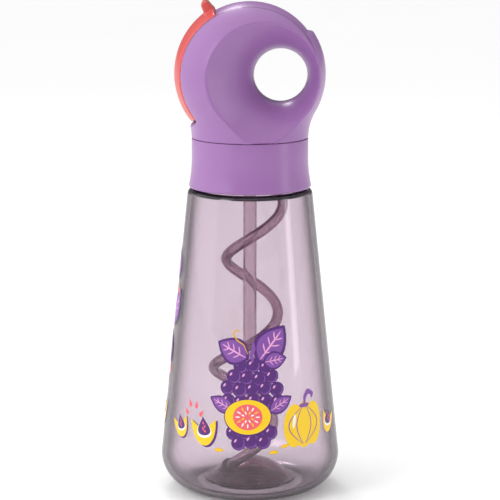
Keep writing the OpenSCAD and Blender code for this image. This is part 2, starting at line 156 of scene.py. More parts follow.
class Field:
    """A value that changes over a surface. Arithmetic on it adds Math nodes."""

    def __init__(self, paint, socket):
        self.paint = paint
        self.socket = socket

    def math(self, operation, *others):
        return self.paint.node("Math", {"operation": operation}, self, *others)

    def __add__(self, other):
        return self.math("ADD", other)

    def __sub__(self, other):
        return self.math("SUBTRACT", other)

    def __rsub__(self, other):
        return self.paint.node("Math", {"operation": "SUBTRACT"}, other, self)

    def __mul__(self, other):
        return self.math("MULTIPLY", other)

    __radd__ = __add__
    __rmul__ = __mul__

    def ramp(self, low, high):
        """0 below low, 1 above high, smooth between."""
        settings = {"interpolation_type": "SMOOTHSTEP"}
        return self.paint.node("MapRange", settings, self, low, high, 0.0, 1.0)


class Paint:
    """The nodes of one material, or of the world."""

    def __init__(self, owner):
        self.owner = owner
        owner.use_nodes = True
        self.tree = owner.node_tree
        self.shader = self.tree.nodes.get("Principled BSDF")
        self.output = self.tree.nodes.get("Material Output")

    def node(self, kind, settings, *inputs, out=0, **named):
        """Any shader node; inputs are Fields, or values that go straight on its sockets."""
        made = self.tree.nodes.new("ShaderNode" + kind)
        for key, value in settings.items():
            setattr(made, key, value)
        for key, value in list(enumerate(inputs)) + list(named.items()):
            if value is None:
                continue
            socket = made.inputs[key.replace("_", " ") if isinstance(key, str) else key]
            if isinstance(value, Field):
                self.tree.links.new(value.socket, socket)
            else:
                socket.default_value = value
        return Field(self, made.outputs[out])

    def place(self):
        """Object coordinates."""
        return self.node("TexCoord", {}, out=3)

    def noise(self, scale, detail=3.0, where=None, rough=0.55):
        return self.node("TexNoise", {}, Vector=where or self.place(), Scale=scale, Detail=detail,
                         Roughness=rough)

    def mix(self, amount, first, second):
        """A colour between two; the node's colour sockets come after its factor and its other types."""
        unused = [None] * 5
        return self.node("Mix", {"data_type": "RGBA"}, amount, *unused, first, second, out=2)

    def bump(self, height, strength, distance):
        return self.node("Bump", {}, Height=height, Strength=strength, Distance=distance)

    def set(self, **values):
        """Sets the shader's sockets; a number or colour that never changes goes straight on them."""
        for key, value in values.items():
            socket = self.shader.inputs[key.replace("_", " ")]
            if isinstance(value, Field):
                self.tree.links.new(value.socket, socket)
            else:
                socket.default_value = value
        return self


def linear(red, green, blue):
    """A screen colour, 0 to 255, as the linear colour that shaders use."""
    def one(level):
        level /= 255
        return level / 12.92 if level <= 0.04045 else ((level + 0.055) / 1.055) ** 2.4
    return (one(red), one(green), one(blue), 1.0)


CLEAR = (1.0, 1.0, 1.0, 1.0)


def shade(colour, factor):
    """The same colour, lighter or darker."""
    return tuple(min(1.0, part * factor) for part in colour[:3]) + (1.0,)


# ------------------------------------------------------------------ materials

def band_line(paint):
    """1 on the line beside the cover's band, over the top of the ball, where painted shade stands in for the
    shadow of the gap beside the band, and 0 elsewhere.
    """
    x, y, z = (paint.node("SeparateXYZ", {}, paint.place(), out=k) for k in range(3))
    across = y.math("ABSOLUTE")
    up = z - BALL_Z * MM
    reach = (x * x + up * up).math("SQRT")
    inner = across.ramp((BAND_HALF - 0.3) * MM, BAND_HALF * MM)
    outer = 1.0 - across.ramp((BAND_HALF + 0.8) * MM, (BAND_HALF + 1.3) * MM)
    return inner * outer * reach.ramp(29.2 * MM, 29.8 * MM) * up.ramp(8.0 * MM, 16.0 * MM)


def moulded_plastic(name, colour, roughness, grain, painted_band_shadow=False):
    """Injection-moulded plastic: faint flow marks, a fine grain, and handling scuffs in the gloss. Its last
    flag adds a painted shadow line beside the cover's band.
    """
    paint = Paint(bpy.data.materials.new(name))
    flow = paint.noise(38.0, 2.0)
    scuffs = paint.noise(420.0, 5.0, rough=0.7).ramp(0.52, 0.70)
    pores = paint.noise(5200.0, 2.0)
    tone = paint.mix(flow, shade(colour, 0.94), shade(colour, 1.06))
    if painted_band_shadow:
        # painted shade: a dark line along the band's edge, standing in for the shadow of the gap beside the
        # cover
        tone = paint.mix(band_line(paint) * 0.85, tone, shade(colour, 0.42))
    paint.set(Base_Color=tone, Roughness=roughness + scuffs * 0.05,
              Normal=paint.bump(pores + flow * 0.5, grain, 0.00003))
    paint.set(IOR=1.49, Subsurface_Weight=0.06, Subsurface_Radius=(0.004, 0.002, 0.004),
              Subsurface_Scale=0.5, Coat_Weight=0.12, Coat_Roughness=0.22)
    return paint.owner


def clear_plastic(name, colour, density, rim, roughness=0.015, ripple=0.25, edge=0.0):
    """Clear tinted plastic: the tint is in its depth. Where it turns away from the eye, painted shade darkens
    it to its rim colour; with edge, part of that rim is a painted dark shell that lets no light through at
    all."""
    paint = Paint(bpy.data.materials.new(name))
    waves = paint.noise(24.0, 2.0)
    # painted shade: the colour darkens towards the rim, standing in for the dark edges of clear plastic
    turned_away = paint.node("LayerWeight", {}, 0.5, out=1)
    paint.set(Base_Color=paint.mix(turned_away.ramp(0.36, 0.80), CLEAR, rim), Roughness=roughness, IOR=1.54,
              Transmission_Weight=1.0, Normal=paint.bump(waves, ripple, 0.0004))
    absorb = paint.node("VolumeAbsorption", {}, Color=colour, Density=density)
    paint.tree.links.new(absorb.socket, paint.output.inputs["Volume"])
    if edge > 0:
        # painted shade: an opaque dark shell mixed in at the rim
        dark = paint.node("BsdfPrincipled", {}, Base_Color=rim, Roughness=0.3)
        clear = Field(paint, paint.shader.outputs[0])
        both = paint.node("MixShader", {}, turned_away.ramp(0.52, 0.86) * edge, clear, dark)
        paint.tree.links.new(both.socket, paint.output.inputs["Surface"])
    return paint.owner


def silicone(name, colour):
    """Soft silicone: matt, a little mottled, with dust in its surface."""
    paint = Paint(bpy.data.materials.new(name))
    mottle = paint.noise(160.0, 3.0)
    dust = paint.noise(2600.0, 3.0)
    paint.set(Base_Color=paint.mix(mottle, shade(colour, 0.93), shade(colour, 1.05)),
              Roughness=0.42 + dust * 0.12, Normal=paint.bump(dust, 0.3, 0.00004))
    paint.set(Subsurface_Weight=0.25, Subsurface_Radius=(0.003, 0.002, 0.002), Subsurface_Scale=0.6,
              IOR=1.41)
    return paint.owner


def print_ink(name, colour):
    """Screen-printed ink: flat colour, a little uneven, with a painted glow so that it shows through from
    behind.
    """
    paint = Paint(bpy.data.materials.new(name))
    layer = paint.noise(900.0, 4.0)
    # painted light: a faint glow in the ink's own colour, with the base colour darkened to make up for it
    paint.set(Base_Color=paint.mix(layer, shade(colour, 0.68), shade(colour, 0.80)),
              Roughness=0.34 + layer * 0.1, Normal=paint.bump(layer, 0.2, 0.00002),
              Emission_Color=colour, Emission_Strength=0.28)
    return paint.owner


HEAD_PURPLE = linear(152, 106, 166)
PURPLE = moulded_plastic("purple_plastic", HEAD_PURPLE, 0.33, 0.10)
# the head's plastic carries the painted shadow line beside the cover's band
PURPLE_HEAD = moulded_plastic("purple_plastic_head", HEAD_PURPLE, 0.33, 0.10, painted_band_shadow=True)
CORAL = moulded_plastic("coral_plastic", linear(206, 76, 74), 0.36, 0.10)
# the last colour of each clear plastic is the painted shade at its rim
TINTED = clear_plastic("tinted_clear_plastic", (0.48, 0.28, 0.43, 1.0), 245.0, (0.03, 0.015, 0.026, 1.0),
                       edge=0.5)
STRAW = clear_plastic("straw_plastic", (0.46, 0.16, 0.34, 1.0), 720.0, (0.30, 0.18, 0.25, 1.0), 0.04, 0.1)
SMOKY = clear_plastic("smoky_plastic", (0.50, 0.06, 0.30, 1.0), 900.0, (0.30, 0.15, 0.22, 1.0), 0.05)
SOFT_WHITE = silicone("soft_white_silicone", linear(232, 226, 232))
SOFT_CORAL = silicone("soft_coral_silicone", linear(238, 140, 132))


# ------------------------------------------------------------------ modelling helpers

def deselect():
    """Leaves edit mode, with nothing selected."""
    if bpy.context.mode != "OBJECT":
        bpy.ops.object.mode_set(mode="OBJECT")
    bpy.ops.object.select_all(action="DESELECT")


def finish_piece(piece, name, material, body, node=None, smooth=35):
    """Names, shades and dresses a piece, and hands it to its body."""
    deselect()
    piece.name = name
    piece.data.name = name
    piece.select_set(True)
    bpy.context.view_layer.objects.active = piece
    bpy.ops.object.transform_apply(location=True, rotation=True, scale=True)
    bpy.ops.object.shade_smooth_by_angle(angle=math.radians(smooth))
    piece.data.materials.clear()
    piece.data.materials.append(material)
    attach(piece, body)
    if node:
        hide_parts(*([node] if isinstance(node, str) else node))
    return piece


def arc(centre_x, centre_z, radius, first, last, count=10):
    """Points along an arc, between two angles in degrees."""
    angles = np.radians(np.linspace(first, last, count))
    return [(centre_x + radius * math.cos(a), centre_z + radius * math.sin(a)) for a in angles]


def turned(outline, steps=128):
    """Draws an outline of (radius, height) points, vertex by vertex, and spins it round Z."""
    deselect()
    bpy.ops.mesh.primitive_plane_add(size=MM)
    piece = bpy.context.object
    bpy.ops.object.mode_set(mode="EDIT")
    bpy.ops.mesh.select_all(action="SELECT")
    bpy.ops.mesh.merge(type="CENTER")
    points = [Vector((r * MM, 0.0, z * MM)) for r, z in outline]
    bpy.ops.transform.translate(value=points[0])
    for last, point in zip(points, points[1:]):
        bpy.ops.mesh.extrude_region_move(TRANSFORM_OT_translate={"value": point - last})
    bpy.ops.mesh.select_all(action="SELECT")
    bpy.ops.mesh.spin(steps=steps, angle=math.tau, center=(0, 0, 0), axis=(0, 0, 1))
    bpy.ops.mesh.select_all(action="SELECT")
    bpy.ops.mesh.remove_doubles(threshold=0.002 * MM)
    bpy.ops.mesh.normals_make_consistent(inside=False)
    bpy.ops.object.mode_set(mode="OBJECT")
    return piece


# ------------------------------------------------------------------ bottle

foot_x = BELLY_R - FOOT_CORNER
shoulder_x = SHOULDER_R - SHOULDER_CORNER
corner_z = SHOULDER_Z - SHOULDER_CORNER
wall_slope = (math.degrees(math.atan2(corner_z - FOOT_CORNER, shoulder_x - foot_x))
              - math.degrees(math.acos((FOOT_CORNER - SHOULDER_CORNER)
                                       / math.hypot(shoulder_x - foot_x, corner_z - FOOT_CORNER))))


def wall_outline(inset):
    """The bottle's side from foot to shoulder, or its inner side for an inset of the wall."""
    return (arc(foot_x, FOOT_CORNER, FOOT_CORNER - inset, -90, wall_slope, 24)
            + arc(shoulder_x, corner_z, SHOULDER_CORNER - inset, wall_slope, 90, 8))


def wall_radius(z):
    """Outer radius of the bottle's straight wall at a height."""
    slope = math.radians(wall_slope)
    low_r = foot_x + FOOT_CORNER * math.cos(slope)
    low_z = FOOT_CORNER + FOOT_CORNER * math.sin(slope)
    if z >= low_z:
        return low_r - (z - low_z) * math.tan(slope)
    return foot_x + math.sqrt(max(0.0, FOOT_CORNER ** 2 - (FOOT_CORNER - z) ** 2))


def make_bottle():
    """The clear bottle as one turned wall, with a plain neck."""
    punt_r = foot_x - 6
    neck_in = NECK_R - NECK_WALL
    outside = ([(0, PUNT)] + arc(punt_r - 2, 0, PUNT, 90, 60, 3) + [(punt_r - 0.8, 0.12), (punt_r, 0)]
               + wall_outline(0))
    root = arc(NECK_R + 0.6, SHOULDER_Z + 0.6, 0.6, 270, 180, 4)
    lip = arc(NECK_R - 0.5, RIM_Z - 0.5, 0.5, 0, 90, 5) + arc(neck_in + 0.5, RIM_Z - 0.5, 0.5, 90, 180, 5)
    throat = arc(neck_in + 1.4, SHOULDER_Z - WALL + 1.4, 1.4, 180, 270, 6)
    inside = list(reversed(wall_outline(WALL)))
    floor = [(punt_r, WALL), (punt_r - 2, WALL + PUNT), (0, WALL + PUNT)]
    piece = turned(outside + root + lip + throat + inside + floor, 160)
    finish_piece(piece, "bottle", TINTED, "bottle", "bottle_body")


make_bottle()

# ------------------------------------------------------------------ collar

def make_collar():
    """The screw collar, with a lower edge that flares out in one curve."""
    thread_root = NECK_R + THREAD_ROOM
    flare = collar_high.x - COLLAR_R
    flare_h = COLLAR_TOP - collar_low.z - 9
    curve = (flare_h ** 2 + flare ** 2) / (2 * flare)
    sweep = math.degrees(math.asin(flare_h / curve))
    low_r = COLLAR_R + flare
    low_z = collar_low.z
    ledge_z = plate_high.z + 0.15
    lip = 0.8
    outline = (arc(low_r - lip, low_z + lip, lip, -90, 0, 7)
               + list(reversed(arc(COLLAR_R + curve, low_z + 1 + flare_h, curve, 180, 180 + sweep, 16)))
               + arc(COLLAR_R - SEAM_ROUND, COLLAR_TOP - SEAM_ROUND, SEAM_ROUND, 0, 90, 5)
               + [(COLLAR_BORE_R, COLLAR_TOP), (COLLAR_BORE_R, ledge_z), (thread_root, ledge_z),
                  (thread_root, low_z + 0.5), (thread_root + 0.5, low_z), (low_r - lip, low_z)])
    piece = turned(outline, 160)
    finish_piece(piece, "collar_ring", PURPLE, "collar_ring", "collar", smooth=40)


make_collar()

# ------------------------------------------------------------------ head and sliding cover

def rounded_max(first, second, radius):
    """The deeper of two distances, with a rounded edge where they meet."""
    blend = np.maximum(radius - np.abs(first - second), 0.0)
    return np.maximum(first, second) + blend ** 2 / (4 * radius)


def rounded_min(first, second, radius):
    return -rounded_max(-first, -second, radius)


def sector(angle, low, high, reach):
    """Distance past either end of a range of angles round the finger hole's axis."""
    return np.maximum(low - angle, angle - high) * math.pi / 180 * reach


def around(x, z):
    """Angle about the ball's centre, from 0 to 360 degrees."""
    return np.degrees(np.arctan2(z, x)) % 360


def polar(radius, degrees):
    """A point at an angle about the ball's centre, in X and Z."""
    return radius * math.cos(math.radians(degrees)), radius * math.sin(math.radians(degrees))


def ball_and_neck(x, y, z):
    """The head's outside: a ball that runs down to the collar's radius in a fillet."""
    round_z = np.hypot(x, y)
    ball = np.sqrt(x * x + y * y + (z - BALL_Z) ** 2) - BALL_R
    neck = FILLET_R - np.hypot(round_z - COLLAR_R - FILLET_R, z - COLLAR_TOP)
    steep = np.degrees(np.arctan2(z - COLLAR_TOP, COLLAR_R + FILLET_R - round_z))
    meet = math.degrees(math.atan((BALL_Z - COLLAR_TOP) / (COLLAR_R + FILLET_R)))
    return rounded_max(np.where(steep < meet, neck, ball), SEAM_Z - z, SEAM_ROUND)


def finger_hole(x, y, z):
    """The finger hole, a tube that flares into a horn on both sides."""
    past = np.maximum(np.abs(y) - HORN_LAND, 0.0)
    slope = HORN_GAIN * HORN_POWER * past ** (HORN_POWER - 1)
    tube = np.hypot(x - HOLE_X, z - HOLE_Z)
    return (HOLE_R + HORN_GAIN * past ** HORN_POWER - tube) / np.sqrt(1 + slope ** 2)


def cover_band(x, y, up, ball):
    """The recess that the cover slides in, with a ramp at its far end."""
    angle = around(x, up)
    ramp_x, ramp_z = polar(FLOOR_R - 0.5, RAMP_FOOT)
    tip_x, tip_z = polar(1.3 * BALL_R, RAMP_TIP)
    length = math.hypot(tip_x - ramp_x, tip_z - ramp_z)
    below_ramp = ((x - ramp_x) * (tip_z - ramp_z) - (up - ramp_z) * (tip_x - ramp_x)) / length
    ends = np.maximum(np.where(angle < 120, below_ramp, -50.0), sector(angle, BAND_START, BAND_END, FLOOR_R))
    floor = rounded_max(np.abs(y) - BAND_HALF, FLOOR_R - ball, FLOOR_ROUND)
    return rounded_max(floor, ends, FLOOR_ROUND)


def spout_slot(x, y, up, ball):
    """The slot in the band's floor, and the channel that the open spout lies in."""
    side = np.abs(y) - SLOT_HALF
    slot = np.maximum(sector(around(x, up), SLOT_TOP, SLIDER_END - 0.5, FLOOR_R),
                      np.maximum(CAVITY_R - 2 - ball, side))
    lean = math.radians(SPOUT_OPEN)
    rise = up + BALL_Z - PIVOT_Z
    out = (x - PIVOT_X) * math.cos(lean) + rise * math.sin(lean)
    off = rise * math.cos(lean) - (x - PIVOT_X) * math.sin(lean)
    channel = np.maximum(np.maximum(np.abs(off) - CHANNEL_HALF, -out), np.maximum(out - SPOUT_LEN, side))
    return np.minimum(slot, channel)


def head_surface(x, y, z):
    """Distance from the head's surface, below 0 inside the plastic."""
    up = z - BALL_Z
    ball = np.sqrt(x * x + y * y + up * up)
    round_z = np.hypot(x, y)
    hole = finger_hole(x, y, z)
    cavity = rounded_max(ball - CAVITY_R, x - HOLE_X - 0.4, INSIDE_ROUND)
    cavity = np.minimum(np.maximum(cavity, plate_high.z - z),
                        np.maximum(round_z - SKIRT_R + SKIRT_HALF, z - BALL_Z + 20))
    cavity = rounded_max(cavity, hole + HEAD_WALL, INSIDE_ROUND)
    shell = rounded_max(ball_and_neck(x, y, z), -cavity, 0.5)
    shell = rounded_max(shell, hole, MOUTH_ROUND)
    shell = rounded_max(shell, -cover_band(x, y, up, ball), BAND_ROUND)
    shell = rounded_max(shell, -spout_slot(x, y, up, ball), BAND_ROUND)
    skirt = np.maximum(np.abs(round_z - SKIRT_R) - SKIRT_HALF,
                       np.maximum(head_low.z - z, z - COLLAR_TOP - 1.5))
    return np.minimum(shell, skirt)


def cover_surface(x, y, z):
    """Distance from the sliding cover's surface, below 0 inside the plastic."""
    up = z - BALL_Z
    ball = np.sqrt(x * x + y * y + up * up)
    sheet = np.abs(ball - (BALL_R + SLIDER_IN_R) / 2) - (BALL_R - SLIDER_IN_R) / 2
    sheet = rounded_max(sheet, np.abs(y) - SLIDER_HALF, COVER_ROUND)
    sheet = rounded_max(sheet, sector(around(x, up), SLIDER_TOP, SLIDER_END, BALL_R), COVER_ROUND)
    tip = np.array(polar(BALL_R + TAB_RISE - TAB_TIP_R, TAB_ANGLE))
    foot = np.array(polar(BALL_R - 0.6, TAB_ANGLE + 0.2))
    run, rise = tip - foot
    along = np.clip(((x - foot[0]) * run + (up - foot[1]) * rise) / (run * run + rise * rise), 0, 1)
    tab = (np.hypot(x - foot[0] - along * run, up - foot[1] - along * rise)
           - (TAB_FOOT_R + along * (TAB_TIP_R - TAB_FOOT_R)))
    tab = rounded_max(tab, np.abs(y) - TAB_HALF, TAB_ROUND)
    tab = np.maximum(tab, SLIDER_IN_R - ball)
    return rounded_min(sheet, tab, TAB_FILLET)


def smooth_copy(node, voxel, surface):
    """A copy of a CAD piece with a fine even mesh, its points moved onto the rounded surface."""
    deselect()
    source = frame["nodes"][node]
    source.select_set(True)
    bpy.context.view_layer.objects.active = source
    bpy.ops.object.duplicate()
    piece = bpy.context.object
    piece.animation_data_clear()
    bpy.ops.object.mode_set(mode="EDIT")
    bpy.ops.mesh.select_all(action="SELECT")
    bpy.ops.mesh.remove_doubles(threshold=0.001 * MM)
    bpy.ops.object.mode_set(mode="OBJECT")
    remesh = piece.modifiers.new("even", "REMESH")
    remesh.mode = "VOXEL"
    remesh.voxel_size = voxel * MM
    bpy.ops.object.modifier_apply(modifier=remesh.name)
    mesh = piece.data
    points = np.empty(len(mesh.vertices) * 3)
    mesh.vertices.foreach_get("co", points)
    points = points.reshape(-1, 3) / MM
    nudge = 0.02
    furthest = 0.4
    for _ in range(8):
        here = surface(*points.T)
        slope = np.empty_like(points)
        for axis in range(3):
            nudged = points.copy()
            nudged[:, axis] += nudge
            slope[:, axis] = (surface(*nudged.T) - here) / nudge
        size = np.maximum((slope ** 2).sum(axis=1), 0.2)
        move = -(np.clip(here, -furthest, furthest) / size)[:, None] * slope
        points += move * 0.8
    mesh.vertices.foreach_set("co", (points * MM).ravel())
    mesh.update()
    return piece


finish_piece(smooth_copy("head_shell", HEAD_VOXEL, head_surface), "head", PURPLE_HEAD, "lid",
             "head_shell", smooth=50)
finish_piece(smooth_copy("slider_cover", COVER_VOXEL, cover_surface), "cover", CORAL, "slider",
             "slider_cover", smooth=50)

# ------------------------------------------------------------------ straws

def draped(across, along, place):
    """A grid whose points are moved by place(s, t), two lists that run from 0 to 1, in millimetres."""
    deselect()
    bpy.ops.mesh.primitive_grid_add(x_subdivisions=across, y_subdivisions=along, size=2.0)
    piece = bpy.context.object
    mesh = piece.data
    flat = np.empty(len(mesh.vertices) * 3)
    mesh.vertices.foreach_get("co", flat)
    flat = flat.reshape(-1, 3)
    points = place((flat[:, 0] + 1) / 2, (flat[:, 1] + 1) / 2)
    mesh.vertices.foreach_set("co", (np.stack(points, axis=1) * MM).ravel())
    bpy.ops.object.mode_set(mode="EDIT")
    bpy.ops.mesh.select_all(action="SELECT")
    bpy.ops.mesh.remove_doubles(threshold=0.002 * MM)
    bpy.ops.mesh.normals_make_consistent(inside=False)
    bpy.ops.object.mode_set(mode="OBJECT")
    return piece


def give_wall(piece, thickness, offset):
    """Gives a sheet a thickness, inwards for an offset of -1 and outwards for 1."""
    wall = piece.modifiers.new("wall", "SOLIDIFY")
    wall.thickness = thickness * MM
    wall.offset = offset
    bpy.context.view_layer.objects.active = piece
    bpy.ops.object.modifier_apply(modifier=wall.name)


def coil_path(z):
    """Centre line and outward direction of the spiral straw at heights z."""
    below = np.maximum(COIL_TOP - z, 0.0)
    turn = 360 / COIL_PITCH * np.where(below < COIL_EASE, below ** 2 / (2 * COIL_EASE), below - COIL_EASE / 2)
    angle = np.radians(90 - turn)
    share = np.clip((COIL_TOP - np.maximum(z, COIL_LOW)) / (COIL_TOP - COIL_LOW), 0, 1)
    tail = np.clip((COIL_LOW - z) / (COIL_LOW - COIL_END), 0, 1)
    radius = (PORT_Y + (COIL_LOW_R - PORT_Y) * share) * (1 - tail) + COIL_END_R * tail
    middle = (PORT_X + (COIL_LOW_X - PORT_X) * share) * (1 - tail)
    out = np.stack([np.cos(angle), np.sin(angle), np.zeros_like(z)], axis=-1)
    centre = np.stack([middle, np.zeros_like(z), z], axis=-1) + radius[..., None] * out
    return centre, out


def coil_skin(s, t):
    """The straw's outside: s goes round it and t down it."""
    z = plate_high.z + (COIL_END - plate_high.z) * t
    centre, out = coil_path(z)
    ahead = coil_path(z - 0.05)[0] - centre
    ahead /= np.linalg.norm(ahead, axis=1)[:, None]
    out = out - (out * ahead).sum(axis=1)[:, None] * ahead
    out /= np.linalg.norm(out, axis=1)[:, None]
    side = np.cross(ahead, out)
    around_it = (s * math.tau)[:, None]
    return (centre + SPIRAL_R * (np.cos(around_it) * out + np.sin(around_it) * side)).T


spiral = draped(20, 330, coil_skin)
give_wall(spiral, SPIRAL_WALL, -1.0)
finish_piece(spiral, "spiral_tube", STRAW, "lid", "spiral_straw", smooth=60)

# ------------------------------------------------------------------ print on the bottle

INK = {
    "purple": linear(82, 34, 114),
    "violet": linear(128, 76, 160),
    "pink": linear(230, 164, 208),
    "coral": linear(236, 96, 106),
    "yellow": linear(246, 202, 14),
    "gold": linear(226, 172, 10),
    "white": linear(244, 242, 240),
}
ink_patches = {colour: [] for colour in INK}
LAYER = 0.035
INK_T = 0.02


def on_wall(u, v, turn, layer):
    """Wraps flat print, u along and v up in millimetres, onto the bottle's wall."""
    radius = np.vectorize(wall_radius)(v)
    angle = math.radians(turn) - math.pi / 2 + u / radius
    radius = radius + INK_T + LAYER * layer
    return radius * np.cos(angle), radius * np.sin(angle), v


def patch(colour, outline, turn, layer, rings=7):
    """A filled shape: its outline, drawn in towards its middle."""
    outline = np.array(outline)
    middle = outline.mean(axis=0)
    count = len(outline)

    def place(s, t):
        at = s * count
        first = np.floor(at + 1e-6).astype(int) % count
        share = np.clip(at - np.floor(at + 1e-6), 0, 1)[:, None]
        edge = outline[first] * (1 - share) + outline[(first + 1) % count] * share
        flat = middle + (edge - middle) * t[:, None]
        return on_wall(flat[:, 0], flat[:, 1], turn, layer)

    ink_patches[colour].append(draped(count, rings, place))


def ribbon(colour, points, width, turn, layer):
    """A drawn line of a given width that thins out at its ends."""
    points = np.array(points, dtype=float)
    spots = np.linspace(0, 1, len(points))

    def place(s, t):
        u, v = np.interp(s, spots, points[:, 0]), np.interp(s, spots, points[:, 1])
        du = np.interp(s + 0.01, spots, points[:, 0]) - np.interp(s - 0.01, spots, points[:, 0])
        dv = np.interp(s + 0.01, spots, points[:, 1]) - np.interp(s - 0.01, spots, points[:, 1])
        size = np.maximum(np.hypot(du, dv), 1e-6)
        across = (t - 0.5) * width * (0.25 + 0.75 * np.sin(math.pi * np.clip(s, 0.02, 0.98)) ** 0.6)
        return on_wall(u - dv / size * across, v + du / size * across, turn, layer)

    ink_patches[colour].append(draped(24, 2, place))


def turned_by(shape, u, v, degrees):
    """Turns a flat shape and puts it at (u, v)."""
    a = math.radians(degrees)
    return [(u + x * math.cos(a) - y * math.sin(a), v + x * math.sin(a) + y * math.cos(a)) for x, y in shape]


def full_turn(count):
    """Angles evenly round a circle, the first not repeated at the end."""
    return np.linspace(0, math.tau, count + 1)[:-1]


def oval(width, height, count=36):
    return [(width / 2 * math.cos(a), height / 2 * math.sin(a)) for a in full_turn(count)]


def leaf(width, height, tip=0.75, count=40):
    """A leaf that stands on its stalk end, with a point at the top."""
    return [(width / 2 * math.sin(a) * abs(math.sin(a)) ** tip * (1.15 + 0.25 * math.cos(a)),
             -height / 2 * math.cos(a)) for a in full_turn(count)]


def droplet(width, height, count=24):
    """A drop with its point at the top."""
    return [(width / 2 * math.sin(a) * (1 + math.cos(a)) / 1.3, -height / 2 * math.cos(a))
            for a in full_turn(count)]


def slice_shape(width, height, dip, count=18):
    """A cut wedge of pumpkin: a round rind below and a hollow above."""
    angles = np.linspace(0, math.pi, count)
    top = height * 0.45
    rind = [(width / 2 * math.cos(a), -height * math.sin(a) + top) for a in angles]
    hollow = [(-width / 2 * math.cos(a) * 0.86, top - dip * math.sin(a)) for a in angles]
    return rind + hollow[1:-1]


def print_leaf(u, v, width, height, degrees, turn, layer=2):
    """A vine leaf in three inks: a dark edge, a violet blade and pink veins."""
    patch("purple", turned_by(leaf(width, height), u, v, degrees), turn, layer)
    patch("violet", turned_by(leaf(width * 0.80, height * 0.84), u, v, degrees), turn, layer + 1)
    midrib = [(0.0, height * k) for k in (-0.40, -0.1, 0.15, 0.34)]
    ribbon("pink", turned_by(midrib, u, v, degrees), width * 0.07, turn, layer + 2)
    for start in (-0.22, -0.04, 0.12):
        for side in (-1, 1):
            reach = width * (0.26 - 0.5 * max(start, 0))
            vein = [(0.0, height * start), (side * reach * 0.6, height * (start + 0.07)),
                    (side * reach, height * (start + 0.13))]
            ribbon("pink", turned_by(vein, u, v, degrees), width * 0.05, turn, layer + 2)


def print_slice(u, v, size, degrees, turn, layer=2):
    """A wedge of pumpkin with a purple back, a pale hollow and coral seeds."""
    shapes = (("purple", slice_shape(size, size * 0.92, size * 0.30), 0.08, -0.03),
              ("yellow", slice_shape(size, size * 0.88, size * 0.36), 0.0, 0.0),
              ("white", droplet(size * 0.58, size * 0.78), 0.0, 0.17),
              ("purple", droplet(size * 0.50, size * 0.68), 0.0, 0.20))
    for above, (colour, shape, du, dv) in enumerate(shapes):
        patch(colour, turned_by(shape, u + du * size, v + dv * size, degrees), turn, layer + above)
    seed = droplet(size * 0.075, size * 0.12, 12)
    for du, dv, lean in ((-0.03, 0.10, 20), (0.05, 0.18, -30), (-0.02, 0.29, 10), (0.04, 0.02, 40)):
        patch("coral", turned_by(seed, u + du * size, v + dv * size, degrees + lean), turn, layer + 4, 2)


def print_pumpkin(u, v, size, turn, layer=2):
    """A whole pumpkin with ribs, a curled stalk and a shine mark."""
    for du, width, height, above in ((-0.26, 0.52, 0.94, 0), (0.26, 0.52, 0.94, 0), (0.0, 0.62, 1.0, 1)):
        lobe = oval(size * width, size * height)
        patch("yellow", turned_by(lobe, u + du * size, v, 0), turn, layer + above)
    shares = np.linspace(0, 1, 15)
    for side in (-1, 1):
        for bulge in (0.17, 0.37):
            rib = [(u + side * size * (0.03 + bulge * math.sin(math.pi * k)), v + size * (0.42 - 0.84 * k))
                   for k in shares]
            ribbon("violet", rib, size * 0.022, turn, layer + 2)
    patch("violet", turned_by(oval(size * 0.28, size * 0.10), u, v + size * 0.42, 0), turn, layer + 3, 3)
    stalk = [(u, v + size * 0.42), (u + 0.4, v + size * 0.60), (u + size * 0.10, v + size * 0.72),
             (u + size * 0.24, v + size * 0.64), (u + size * 0.22, v + size * 0.55)]
    ribbon("violet", stalk, size * 0.10, turn, layer + 3)
    shine = oval(size * 0.07, size * 0.30)
    patch("white", turned_by(shine, u - size * 0.27, v + size * 0.10, -8), turn, layer + 3, 4)


def print_berry(u, v, size, turn, layer):
    """A grape: a dark disc with a violet crescent at its lower right and a pink shine."""
    discs = (("purple", 1.0, 1.0, 28, 0.0, 0.0, 0, 4), ("violet", 0.80, 0.80, 24, 0.03, -0.03, 0, 4),
             ("purple", 0.76, 0.78, 24, -0.02, 0.03, 0, 4), ("pink", 0.13, 0.26, 12, -0.20, 0.16, -35, 2))
    for above, (colour, width, height, count, du, dv, lean, rings) in enumerate(discs):
        disc = turned_by(oval(size * width, size * height, count), u + size * du, v + size * dv, lean)
        patch(colour, disc, turn, layer + above, rings)


def print_half_pumpkin(u, v, turn, layer):
    """A pumpkin cut across: its rind, its flesh, and two rings of seeds."""
    patch("purple", turned_by(oval(21.0, 16.1, 48), u, v - 0.2, 0), turn, layer, 8)
    patch("yellow", turned_by(oval(20.2, 15.3, 48), u, v, 0), turn, layer + 1, 8)
    patch("coral", turned_by(oval(12.8, 11.4, 40), u, v, 0), turn, layer + 2, 6)
    for ring, count, size, offset in ((3.9, 12, 2.0, 0), (2.0, 8, 1.5, 0.5)):
        for k in range(count):
            degrees = 360 * (k + offset) / count
            a = math.radians(degrees)
            seed = turned_by(oval(0.62, size, 14), u + ring * 1.12 * math.cos(a), v + ring * math.sin(a),
                             degrees - 90)
            patch("yellow" if k % 3 == 1 else "white", seed, turn, layer + 3, 2)


